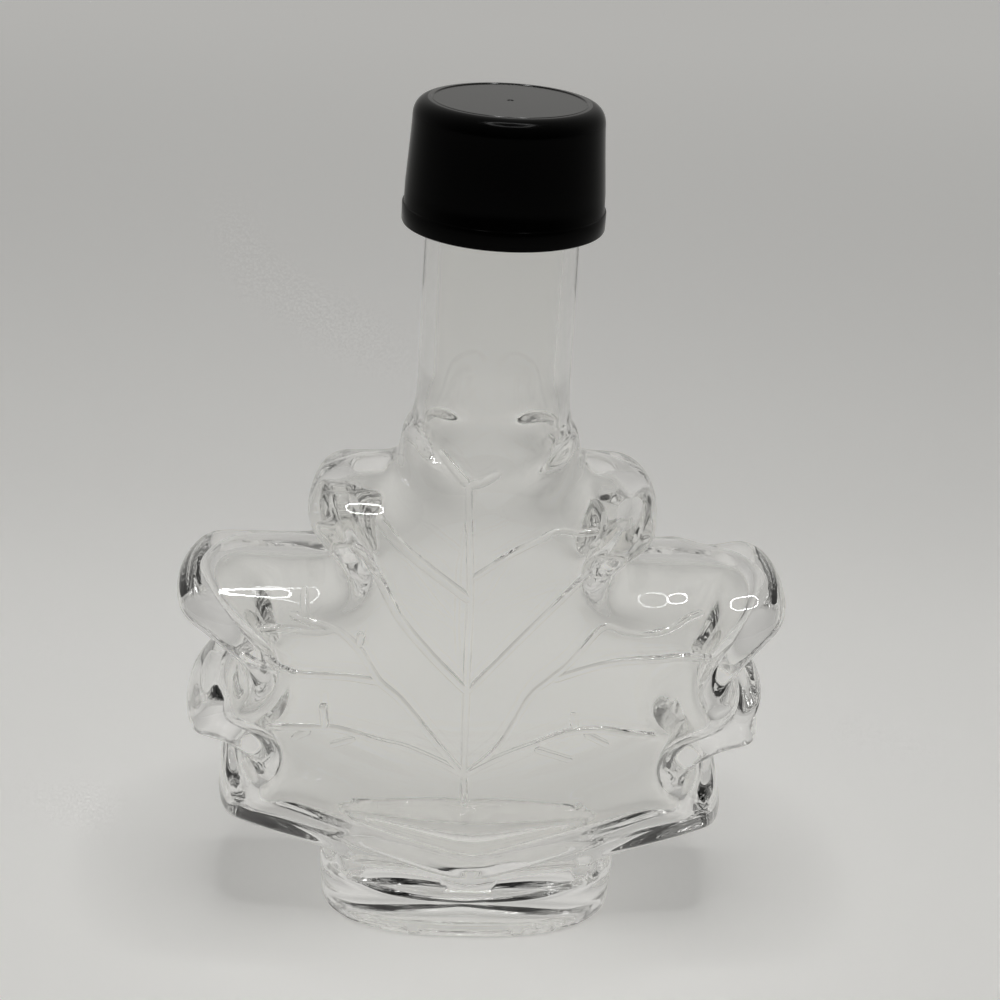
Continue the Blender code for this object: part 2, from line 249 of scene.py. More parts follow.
@dataclass
class DepthMap:
    """Square of the glass's half depth over the plane of the seam, on an even grid in millimetres."""

    low: np.ndarray
    spacing: float
    values: np.ndarray

    def soften(self, reach: float) -> None:
        """Blur the map with a bell curve.

        Args:
            reach: the curve's standard deviation, in millimetres.
        """
        count = max(1, round(3.0 * reach / self.spacing))
        steps = np.arange(-count, count + 1) * self.spacing
        bell = np.exp(-0.5 * (steps / reach) ** 2)
        bell /= bell.sum()
        for axis in (0, 1):
            padded = np.pad(self.values, [(count, count) if a == axis else (0, 0) for a in (0, 1)], "edge")
            total = np.zeros_like(self.values)
            for index, weight in enumerate(bell):
                window = [slice(None), slice(None)]
                window[axis] = slice(index, index + self.values.shape[axis])
                total += weight * padded[tuple(window)]
            self.values = total

    def read(self, x: np.ndarray, z: np.ndarray) -> np.ndarray:
        """Read the map smoothly between its grid points, by a cubic spline.

        Args:
            x: places across the leaf, in millimetres.
            z: heights, in millimetres.

        Returns:
            The map's values there.
        """
        total = np.zeros_like(x)
        margin = 3.001
        u = np.clip((x - self.low[0]) / self.spacing, 1.0, self.values.shape[0] - margin)
        v = np.clip((z - self.low[1]) / self.spacing, 1.0, self.values.shape[1] - margin)
        column, row = np.floor(u).astype(int), np.floor(v).astype(int)
        across, up = spline_weights(u - column), spline_weights(v - row)
        for i in range(4):
            for k in range(4):
                total += across[i] * up[k] * self.values[column + i - 1, row + k - 1]
        return total


def spline_weights(share: np.ndarray) -> list[np.ndarray]:
    """Work out the four weights of a cubic spline.

    Args:
        share: how far along its cell each place lies, from 0 to 1.

    Returns:
        The weights of the four grid points round each place, in order.
    """
    rest = 1.0 - share
    return [rest ** 3 / 6.0, (3.0 * share ** 3 - 6.0 * share ** 2 + 4.0) / 6.0,
            (3.0 * rest ** 3 - 6.0 * rest ** 2 + 4.0) / 6.0, share ** 3 / 6.0]


def soft_min(first: np.ndarray, second: np.ndarray, reach: float) -> np.ndarray:
    """Return the smaller of two distances, rounded over a reach where they meet."""
    mix = np.clip(0.5 + 0.5 * (second - first) / reach, 0.0, 1.0)
    return second + (first - second) * mix - reach * mix * (1.0 - mix)


def soft_max(first: np.ndarray, second: np.ndarray, reach: float) -> np.ndarray:
    """Return the larger of two values, rounded over a reach where they meet."""
    return -soft_min(-first, -second, reach)


@dataclass
class GlassForm:
    """The exact form of one skin of the glass, in millimetres.

    The half depth of the leaf grows from its outline over a rounded shoulder to a flat face, which
    folds back below a shallow V. The neck and the foot are blended into it.
    """

    wall: Wall
    outline: LeafOutline = field(default_factory=LeafOutline)
    half_depth: float = 14.0
    least_shoulder: float = 2.5
    shoulder_power: float = 2.2
    fold_places: tuple[float, ...] = (0.0, 7.0, 17.0, 26.0, 34.5, 44.0)
    fold_heights: tuple[float, ...] = (13.1, 15.8, 20.6, 25.2, 28.1, 31.2)
    fold_tapers: tuple[float, ...] = (0.50, 0.50, 0.50, 0.44, 0.34, 0.32)
    face_wall: float = 2.6
    edge_wall: float = 3.2
    funnel_heights: tuple[float, ...] = (74.0, 78.0, 80.0, 82.0, 84.0, 88.0, 98.0)
    funnel_widths: tuple[float, ...] = (30.0, 23.0, 17.0, 13.8, 12.0, 10.6, 9.2)
    funnel_depths: tuple[float, ...] = (11.0, 11.0, 10.9, 10.7, 10.4, 9.8, 9.2)
    bore: float = 9.2
    floor_places: tuple[float, ...] = (0.0, 17.0, 30.0, 44.0)
    floor_heights: tuple[float, ...] = (9.6, 15.2, 20.0, 23.5)
    floor_round: float = 6.0
    ceiling: float = 85.5
    ceiling_round: float = 9.0
    neck_heights: tuple[float, ...] = (60.0, 84.0, 89.5, 93.5, 97.0, 121.0, 122.0, 123.0, 150.0)
    neck_radii: tuple[float, ...] = (13.7, 13.7, 12.6, 11.9, 11.7, 11.4, 11.4, 12.3, 12.3)
    foot_half_width: float = 25.2
    foot_half_depth: float = 13.9
    foot_flare: float = 0.4
    foot_power: float = 2.5
    foot_top: float = 9.0
    heel_width: float = 3.4
    push_up: float = 2.4
    heel_round: float = 1.4
    mouth: float = 137.4
    past_mouth: float = 3.0
    lip_round: float = 1.2
    mouth_blend: float = 0.5
    push_up_power: float = 2.4
    least_depth: float = 6.0
    inset_shoulder: float = 0.4
    leaf_soften: float = 0.9
    hollow_soften: float = 2.4
    hollow_end_blend: float = 0.15
    floor_slope: float = 0.93
    neck_root: float = 72.0
    neck_drop: float = 40.0
    foot_drop: float = 60.0
    most_drop: float = 600.0
    blend: float = 26.0
    foot_blend: float = 9.1
    map_low: Point2 = (-56.0, -8.0)
    map_high: Point2 = (56.0, 150.0)
    spacing: float = 0.4
    least_slope: float = 9.0
    flattest: float = 0.04
    longest_step: float = 1.5

    def __post_init__(self) -> None:
        """Work out the map of half depths."""
        self.inset = self.edge_wall if self.wall is Wall.HOLLOW else 0.0
        self.sink = self.face_wall if self.wall is Wall.HOLLOW else 0.0
        low, high = np.array(self.map_low), np.array(self.map_high)
        counts = np.ceil((high - low) / self.spacing).astype(int) + 1
        x, z = np.meshgrid(low[0] + self.spacing * np.arange(counts[0]),
                           low[1] + self.spacing * np.arange(counts[1]), indexing="ij")
        body = self.body(x, z)
        self.map = DepthMap(low, self.spacing, body)
        self.map.soften(self.hollow_soften if self.wall is Wall.HOLLOW else self.leaf_soften)
        self.map.values = self.join_neck_and_foot(x, z, self.map.values)

    def body(self, x: np.ndarray, z: np.ndarray) -> np.ndarray:
        """Work out the square of the leaf's half depth over a grid.

        Args:
            x: places across the leaf, in millimetres.
            z: heights, in millimetres.

        Returns:
            The square at each grid point, running on below zero outside the leaf.
        """
        spots = np.column_stack([x.ravel(), z.ravel()])
        inside, shoulder = self.outline.depth_inside(spots)
        inside = inside.reshape(x.shape) - self.inset
        shoulder = np.maximum(shoulder.reshape(x.shape) - self.inset_shoulder * self.inset,
                              self.least_shoulder)
        fold = np.interp(np.abs(x), self.fold_places, self.fold_heights)
        taper = np.interp(np.abs(x), self.fold_places, self.fold_tapers)
        full = np.clip(self.half_depth - self.sink - taper * np.clip(fold - z, 0.0, None),
                       self.least_depth, None)
        rise = self.rise(inside, shoulder)
        if self.wall is Wall.HOLLOW:
            floor = np.interp(np.abs(x), self.floor_places, self.floor_heights)
            bottom = self.rise(self.floor_slope * (z - floor), self.floor_round)
            top = self.rise(self.ceiling - z, self.ceiling_round)
            rise = soft_min(soft_min(rise, bottom, self.hollow_end_blend), top, self.hollow_end_blend)
        return full ** 2 * rise

    def rise(self, inside: np.ndarray, width: np.ndarray | float) -> np.ndarray:
        """Return the share of the full squared depth at a distance inside an edge of a given roundness."""
        share = np.clip(np.abs(inside) / width, 0.0, 1.0)
        return np.sign(inside) * (1.0 - (1.0 - share) ** self.shoulder_power) ** (2.0 / self.shoulder_power)

    def join_neck_and_foot(self, x: np.ndarray, z: np.ndarray, body: np.ndarray) -> np.ndarray:
        """Blend the neck, and on the outside the foot, into the map of the leaf.

        Args:
            x: places across the leaf, in millimetres.
            z: heights, in millimetres.
            body: the square of the leaf's half depth there.

        Returns:
            The square of the whole skin's half depth there.
        """
        low_end = np.clip((self.neck_root - z) * self.neck_drop, 0.0, self.most_drop)
        if self.wall is Wall.HOLLOW:
            across = np.interp(z, self.funnel_heights, self.funnel_widths)
            deep = np.interp(z, self.funnel_heights, self.funnel_depths)
            return soft_max(body, deep ** 2 * (1.0 - (x / across) ** 2) - low_end, self.blend)
        radius = np.interp(z, self.neck_heights, self.neck_radii)
        joined = soft_max(body, radius ** 2 - x ** 2 - low_end, self.blend)
        half_width = self.foot_half_width + self.foot_flare * np.clip(z / self.foot_top, 0.0, 1.0)
        share = 1.0 - (np.abs(x) / half_width) ** self.foot_power
        foot = self.foot_half_depth ** 2 * np.sign(share) * np.abs(share) ** (2.0 / self.foot_power)
        foot = foot - np.clip((z - self.foot_top) * self.foot_drop, 0.0, self.most_drop)
        return soft_max(joined, foot, self.foot_blend)

    def depth_below_surface(self, spots: np.ndarray) -> np.ndarray:
        """Return about how far each spot lies below the skin, negative above it.

        Args:
            spots: rows of x, y and z in millimetres.

        Returns:
            One distance for each row.
        """
        x, y, z = spots.T
        reach = 0.5 * self.spacing
        value = self.map.read(x, z)
        across = (self.map.read(x + reach, z) - self.map.read(x - reach, z)) / (2.0 * reach)
        up = (self.map.read(x, z + reach) - self.map.read(x, z - reach)) / (2.0 * reach)
        slope = np.sqrt(across ** 2 + up ** 2 + 4.0 * y ** 2)
        depth = (value - y ** 2) / np.maximum(slope, self.least_slope)
        if self.wall is Wall.HOLLOW:
            return soft_min(depth, self.mouth + self.past_mouth - z, self.mouth_blend)
        width = (np.abs(x) / (self.foot_half_width - self.heel_width)) ** self.push_up_power
        deep = (np.abs(y) / (self.foot_half_depth - self.heel_width)) ** self.push_up_power
        dome = self.push_up * np.sqrt(np.clip(1.0 - width - deep, 0.0, 1.0))
        depth = soft_min(depth, z - dome, self.heel_round)
        return soft_min(depth, self.mouth - z, self.lip_round)

    def settle(self, piece: bpy.types.Object, rounds: int) -> None:
        """Move a mesh's points straight onto this form.

        Args:
            piece: a closed blank that already lies near the form.
            rounds: how many steps each point may take.
        """
        spots = places(piece) / MM
        for _ in range(rounds):
            depth = self.depth_below_surface(spots)
            slope = self.slope(spots)
            size2 = np.maximum((slope ** 2).sum(axis=1), self.flattest)
            step = -(depth / size2)[:, None] * slope
            length = np.linalg.norm(step, axis=1)
            step *= np.minimum(1.0, self.longest_step / np.maximum(length, TINY))[:, None]
            spots = spots + step
        move_to(piece, spots * MM)

    def slope(self, spots: np.ndarray) -> np.ndarray:
        """Find the direction in which the depth below the skin grows.

        Args:
            spots: rows of x, y and z in millimetres.

        Returns:
            One row for each spot, as long as the growth in a millimetre.
        """
        nudge = 0.03
        columns = []
        for axis in range(3):
            step = np.zeros(3)
            step[axis] = nudge
            columns.append((self.depth_below_surface(spots + step)
                            - self.depth_below_surface(spots - step)) / (2.0 * nudge))
        return np.column_stack(columns)


@dataclass(frozen=True)
class Vein:
    """One raised vein on the leaf's front face.

    Attributes:
        path: points across the face, x and z in millimetres.
        start: share of the full height at the first point.
        end: share of the full height at the last point.
        width: width across its foot in millimetres.
    """

    path: tuple[Point2, ...]
    start: float = 1.0
    end: float = 1.0
    width: float = 1.4

    def line(self, step: float) -> tuple[np.ndarray, np.ndarray]:
        """Draw a smooth curve through the path.

        Args:
            step: about how far apart its points lie, in millimetres.

        Returns:
            Rows of x and z along the curve, and the share of the full height at each.
        """
        knots = np.array(self.path)
        if len(knots) == 2:
            knots = np.vstack([knots[0], knots.mean(axis=0), knots[1]])
        ends = np.vstack([2.0 * knots[0] - knots[1], knots, 2.0 * knots[-1] - knots[-2]])
        rows: list[np.ndarray] = []
        for a, b, c, d in zip(ends, ends[1:], ends[2:], ends[3:]):
            count = max(2, round(float(np.linalg.norm(c - b)) / step))
            for share in np.arange(count) / count:
                rows.append(0.5 * (2.0 * b + (c - a) * share + (2.0 * a - 5.0 * b + 4.0 * c - d) * share ** 2
                                   + (3.0 * b - a - 3.0 * c + d) * share ** 3))
        rows.append(knots[-1])
        curve = np.array(rows)
        along = np.linspace(0.0, 1.0, len(curve))
        return curve, self.start + (self.end - self.start) * along


VEINS: tuple[Vein, ...] = (
    Vein(((-3.7, 85.2), (-3.4, 79.4), (-2.9, 72.6), (-2.5, 65.0), (-2.5, 56.8), (-2.3, 49.5), (-2.0, 33.5),
          (-1.5, 27.6)), 0.8, 0.9, 1.2),
    Vein(((-3.7, 84.8), (-5.8, 86.7), (-8.1, 88.8)), 0.8, 0.6),
    Vein(((-3.7, 84.8), (-1.6, 85.4), (0.8, 86.8)), 0.8, 0.6),
    Vein(((-2.6, 65.7), (-8.9, 70.7), (-13.6, 74.8), (-17.0, 78.6)), 1.0, 0.9, 1.7),
    Vein(((-2.2, 69.5), (3.1, 73.7), (7.5, 76.4), (10.4, 78.0), (13.5, 77.6), (16.5, 77.9)), 1.0, 0.5, 1.2),
    Vein(((-2.2, 49.2), (-8.3, 55.8), (-13.2, 62.2), (-16.5, 68.7), (-18.8, 72.9), (-20.8, 74.6)),
         0.8, 0.8, 1.5),
    Vein(((-2.2, 49.2), (2.6, 55.2), (7.0, 60.7), (15.8, 71.5)), 0.8, 0.8, 1.2),
    Vein(((-2.0, 33.5), (-7.4, 40.4), (-12.7, 47.4), (-16.3, 51.0), (-19.1, 56.0), (-21.6, 58.9),
          (-23.9, 60.3), (-27.8, 61.4), (-30.1, 61.9)), 0.7, 0.9),
    Vein(((-23.2, 60.1), (-25.5, 59.5), (-31.1, 59.7), (-35.1, 59.6)), 0.9, 1.1),
    Vein(((-19.4, 56.9), (-19.0, 59.6)), 1.0, 1.0),
    Vein(((-27.6, 61.4), (-28.1, 64.9)), 1.0, 0.7),
    Vein(((-16.0, 50.6), (-21.5, 51.4), (-28.5, 51.7), (-31.6, 52.7), (-34.4, 53.2), (-37.7, 55.2)),
         0.5, 1.0),
    Vein(((-31.6, 52.7), (-33.9, 55.0)), 1.0, 1.0),
    Vein(((-2.0, 33.5), (3.5, 39.4), (7.8, 48.5), (10.7, 51.8), (13.7, 55.0), (18.3, 61.4), (21.8, 60.8),
          (25.8, 60.6), (28.9, 61.4), (31.8, 63.1), (34.1, 63.7)), 0.45, 0.7, 1.2),
    Vein(((11.2, 51.8), (16.9, 54.1), (21.5, 55.4), (27.8, 56.1), (30.9, 56.6), (36.0, 56.5)), 0.5, 1.1),
    Vein(((-2.0, 33.5), (-5.9, 35.9), (-11.7, 38.6), (-15.7, 39.6), (-20.5, 41.2), (-23.7, 41.9),
          (-28.4, 41.9), (-33.9, 41.8)), 0.7, 0.6),
    Vein(((-24.5, 41.9), (-24.8, 46.5)), 0.9, 1.1),
    Vein(((-29.7, 39.8), (-26.8, 41.4)), 0.6, 0.6),
    Vein(((-23.6, 38.7), (-19.7, 40.1)), 0.6, 0.6),
    Vein(((-2.0, 33.5), (3.7, 37.1), (9.9, 40.1), (14.6, 42.2), (19.4, 42.7), (23.5, 42.2), (28.4, 41.8)),
         0.5, 1.0),
    Vein(((15.4, 42.9), (14.8, 45.9)), 0.5, 0.4),
    Vein(((17.0, 42.0), (20.9, 39.9)), 0.7, 0.7),
    Vein(((9.2, 38.8), (15.3, 36.8)), 0.6, 0.6),
)


@dataclass
class VeinRelief:
    """Raised veins on the front face of the leaf: low ribs with steep sides, in millimetres."""

    form: GlassForm
    veins: tuple[Vein, ...] = VEINS
    height: float = 0.68
    side_lean: float = 0.26
    root: float = 0.5
    step: float = 0.45
    crown: float = 0.88
    crown_inset: float = 0.1
    end_taper: float = 0.45
    end_share: float = 0.55
    end_rise: float = 0.45

    def section(self, width: float) -> np.ndarray:
        """Draw a rib's section.

        Args:
            width: the rib's width across its foot.

        Returns:
            Rows of (across, out from the face).
        """
        foot = 0.5 * width + self.side_lean * self.root / self.height
        top = 0.5 * width - self.side_lean
        half = [(foot, -self.root), (0.5 * width, 0.0), (top, self.crown * self.height),
                (top - self.crown_inset, self.height)]
        return np.array(half + [(-across, out) for across, out in half[::-1]])

    def face(self, spots: np.ndarray) -> np.ndarray:
        """Return the places on the front face above rows of (x, z)."""
        depth = np.sqrt(np.maximum(self.form.map.read(spots[:, 0], spots[:, 1]), 1.0))
        return np.column_stack([spots[:, 0], -depth, spots[:, 1]])

    def rib(self, vein: Vein) -> bpy.types.Object:
        """Extrude one rib's section along its vein.

        Args:
            vein: the vein to follow.

        Returns:
            The closed rib, rooted a little below the face.
        """
        curve, heights = vein.line(self.step)
        spots = self.face(curve)
        ahead = np.gradient(spots, axis=0)
        ahead /= np.linalg.norm(ahead, axis=1)[:, None]
        nudge = 0.2
        across = self.face(curve + [nudge, 0.0]) - self.face(curve - [nudge, 0.0])
        up = self.face(curve + [0.0, nudge]) - self.face(curve - [0.0, nudge])
        out = np.cross(across, up)
        out /= np.linalg.norm(out, axis=1)[:, None]
        aside = np.cross(ahead, out)
        section = self.section(vein.width)
        lengths = np.concatenate([[0.0], np.cumsum(np.linalg.norm(np.diff(spots, axis=0), axis=1))])
        from_end = np.minimum(lengths, lengths[-1] - lengths)
        taper = np.clip(self.end_share + self.end_rise * from_end / self.end_taper, 0.0, 1.0)
        deselect()
        bpy.ops.mesh.primitive_circle_add(vertices=len(section), radius=MM, fill_type="NGON")
        rib = named("vein")
        edit_all()
        for _ in range(len(spots) - 1):
            bpy.ops.mesh.extrude_region_move(TRANSFORM_OT_translate={"value": (0.0, 0.0, MM)})
        bpy.ops.mesh.select_all(action="SELECT")
        bpy.ops.object.mode_set(mode="OBJECT")
        levels = np.rint(places(rib)[:, 2] / MM).astype(int)
        corner = np.arange(len(levels)) % len(section)
        wide = section[corner, 0] * taper[levels]
        tall = np.where(section[corner, 1] > 0.0, section[corner, 1] * heights[levels] * taper[levels],
                        section[corner, 1])
        move_to(rib, (spots[levels] + wide[:, None] * aside[levels] + tall[:, None] * out[levels]) * MM)
        activate(rib)
        edit_all()
        close_shell()
        return rib

    def raise_on(self, skin: bpy.types.Object) -> None:
        """Join every vein to the skin of the glass.

        Args:
            skin: the glass's outer skin, which grows by the veins.
        """
        ribs = self.rib(self.veins[0])
        for vein in self.veins[1:]:
            fuse(ribs, self.rib(vein), "UNION")
        LOG.info("%d veins with %d faces", len(self.veins), len(ribs.data.polygons))
        fuse(skin, ribs, "UNION")


# ---- Finishes -------------------------------------------------------------------------------------


def fade(tree: bpy.types.NodeTree, source: bpy.types.NodeSocket, levels: Levels) -> bpy.types.NodeSocket:
    """Add a smooth fade to a node tree.

    Args:
        tree: the nodes of a material or a world.
        source: the value to read.
        levels: where the fade starts and ends, and its values there.

    Returns:
        The socket that gives the faded value.
    """
    node = tree.nodes.new("ShaderNodeMapRange")
    node.interpolation_type = "SMOOTHSTEP"
    for name, value in zip(("From Min", "From Max", "To Min", "To Max"), levels):
        node.inputs[name].default_value = value
    tree.links.new(source, node.inputs["Value"])
    return node.outputs["Result"]


def add_up(tree: bpy.types.NodeTree, first: bpy.types.NodeSocket, second: bpy.types.NodeSocket,
           target: bpy.types.NodeSocket) -> None:
    """Link the sum of two sockets to a target.

    Args:
        tree: the nodes of a material or a world.
        first: one value.
        second: the value to add to it.
        target: the socket that takes the sum.
    """
    total = tree.nodes.new("ShaderNodeMath")
    total.operation = "ADD"
    tree.links.new(first, total.inputs[0])
    tree.links.new(second, total.inputs[1])
    tree.links.new(total.outputs["Value"], target)


@dataclass(frozen=True)
class ClearGlass:
    """Clear moulded glass."""

    slot: str = "clear_glass"
    colour: Colour = (0.972, 0.972, 0.962, 1.0)
    roughness: float = 0.0
    ior: float = 1.51
    transmission: float = 1.0

    def build(self) -> bpy.types.Material:
        """Make the material.

        Returns:
            The glass's material.
        """
        made = bpy.data.materials.new(self.slot)
        made.use_nodes = True
        shader = made.node_tree.nodes["Principled BSDF"]
        shader.inputs["Base Color"].default_value = self.colour
        shader.inputs["Roughness"].default_value = self.roughness
        shader.inputs["IOR"].default_value = self.ior
        shader.inputs["Transmission Weight"].default_value = self.transmission
        return made


@dataclass(frozen=True)
class BlackPlastic:
    """Glossy black moulded plastic with the faint orange peel of a mould."""

    slot: str = "black_plastic"
    colour: Colour = (0.001, 0.001, 0.001, 1.0)
    roughness: float = 0.16
    # Painted shade: the skirt's index of refraction is set low, so its sides reflect almost nothing and look
    # black.
    ior: float = 1.12
    # Painted sheen: the top disc takes a copy of the plastic that reflects more, so it looks lighter than
    # the sides.
    disc_ior: float = 1.32
    grain_scale: float = 900.0
    grain_bump: float = 0.03
    grain_depth: float = 0.05 * MM

    def build(self, name: str, ior: float) -> bpy.types.Material:
        """Make the material of the skirt, or the more reflective copy of it that paints a sheen on the top
        disc.

        Args:
            name: the material's name.
            ior: its index of refraction, which sets how strongly it reflects.

        Returns:
            The material.
        """
        made = bpy.data.materials.new(name)
        made.use_nodes = True
        tree = made.node_tree
        shader = tree.nodes["Principled BSDF"]
        shader.inputs["Base Color"].default_value = self.colour
        shader.inputs["Roughness"].default_value = self.roughness
        shader.inputs["IOR"].default_value = ior
        coordinates = tree.nodes.new("ShaderNodeTexCoord")
        grain = tree.nodes.new("ShaderNodeTexNoise")
        grain.inputs["Scale"].default_value = self.grain_scale
        bump = tree.nodes.new("ShaderNodeBump")
        bump.inputs["Strength"].default_value = self.grain_bump
        bump.inputs["Distance"].default_value = self.grain_depth
        tree.links.new(coordinates.outputs["Object"], grain.inputs["Vector"])
        tree.links.new(grain.outputs["Fac"], bump.inputs["Height"])
        tree.links.new(bump.outputs["Normal"], shader.inputs["Normal"])
        return made


# ---- Pieces ---------------------------------------------------------------------------------------


@dataclass
class GlassBottle:
    """The one-piece glass bottle: leaf, neck and foot round one hollow, in millimetres."""

    skin_voxel: float = 0.8
    hollow_voxel: float = 0.9
    slab_half_depth: float = 11.5
    slab_centre: float = 45.0
    neck_post_radius: float = 11.6
    neck_post_bottom: float = 70.0
    foot_post_radius: float = 13.6
    foot_post_top: float = 20.0
    foot_post_stretch: float = 1.8
    post_sides: int = 64
    settle_rounds: int = 10
    relax_rounds: int = 5
    relax_share: float = 0.5
    relax_repeats: int = 3
    resettle_rounds: int = 3
    sharp_angle: float = math.radians(45.0)
    finish: ClearGlass = ClearGlass()

    def prism(self, form: GlassForm, name: str) -> bpy.types.Object:
        """Extrude the leaf's outline to a plain thick slab.

        Args:
            form: the skin that the slab is a start for.
            name: the slab's name.

        Returns:
            The closed slab.
        """
        ring = form.outline.points()[:, :2] * MM
        deselect()
        bpy.ops.mesh.primitive_circle_add(vertices=len(ring), radius=MM, fill_type="NGON")
        slab = named(name)
        depth = self.slab_half_depth * MM - form.sink * MM
        centre = np.array([0.0, self.slab_centre * MM])
        shrink = 1.0 - form.inset / self.slab_centre
        flat = (ring - centre) * shrink + centre
        move_to(slab, np.column_stack([flat[:, 0], np.full(len(ring), depth), flat[:, 1]]))
        activate(slab)
        edit_all()
        bpy.ops.mesh.extrude_region_move(TRANSFORM_OT_translate={"value": (0.0, -2.0 * depth, 0.0)})
        close_shell()
        return slab

    def post(self, radius: float, low: float, high: float, stretch: float = 1.0) -> bpy.types.Object:
        """Add an upright round or oval post.

        Args:
            radius: its half depth.
            low: the height where it starts.
            high: the height where it ends.
            stretch: how many times wider than deep it is.

        Returns:
            The closed post.
        """
        deselect()
        low, high = low * MM, high * MM
        bpy.ops.mesh.primitive_cylinder_add(vertices=self.post_sides, radius=radius * MM, depth=high - low,
                                            location=(0.0, 0.0, 0.5 * (low + high)))
        post = named("post")
        post.scale = (stretch, 1.0, 1.0)
        settle_place(post)
        return post

    def blank(self, form: GlassForm, name: str, voxel: float) -> bpy.types.Object:
        """Model one skin roughly, remesh it evenly and settle it on its exact form.

        Args:
            form: the skin's exact form.
            name: the skin's name.
            voxel: the remesh's size.

        Returns:
            The closed skin.
        """
        slab = self.prism(form, name)
        if form.wall is Wall.OUTSIDE:
            posts = [self.post(self.neck_post_radius, self.neck_post_bottom, form.mouth),
                     self.post(self.foot_post_radius, 0.0, self.foot_post_top, self.foot_post_stretch)]
        else:
            posts = [self.post(form.bore, self.neck_post_bottom, form.mouth + form.past_mouth)]
        deselect()
        for piece in [slab] + posts:
            piece.select_set(True)
        bpy.context.view_layer.objects.active = slab
        bpy.ops.object.join()
        apply_modifier(slab, "REMESH", mode="VOXEL", voxel_size=voxel * MM, use_smooth_shade=True)
        form.settle(slab, self.settle_rounds)
        for _ in range(self.relax_rounds):
            activate(slab)
            edit_all()
            bpy.ops.mesh.vertices_smooth(factor=self.relax_share, repeat=self.relax_repeats)
            bpy.ops.object.mode_set(mode="OBJECT")
            form.settle(slab, self.resettle_rounds)
        return slab

    def build(self) -> bpy.types.Object:
        """Make the bottle: the outer skin with its veins, less the hollow.

        Returns:
            The finished glass.
        """
        outside = GlassForm(Wall.OUTSIDE)
        skin = self.blank(outside, "glass_bottle", self.skin_voxel)
        VeinRelief(outside).raise_on(skin)
        fuse(skin, self.blank(GlassForm(Wall.HOLLOW), "hollow", self.hollow_voxel), "DIFFERENCE")
        activate(skin)
        bpy.ops.object.shade_smooth_by_angle(angle=self.sharp_angle)
        skin.data.materials.clear()
        skin.data.materials.append(self.finish.build())
        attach(skin, "root")
        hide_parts("bottle")
        return skin


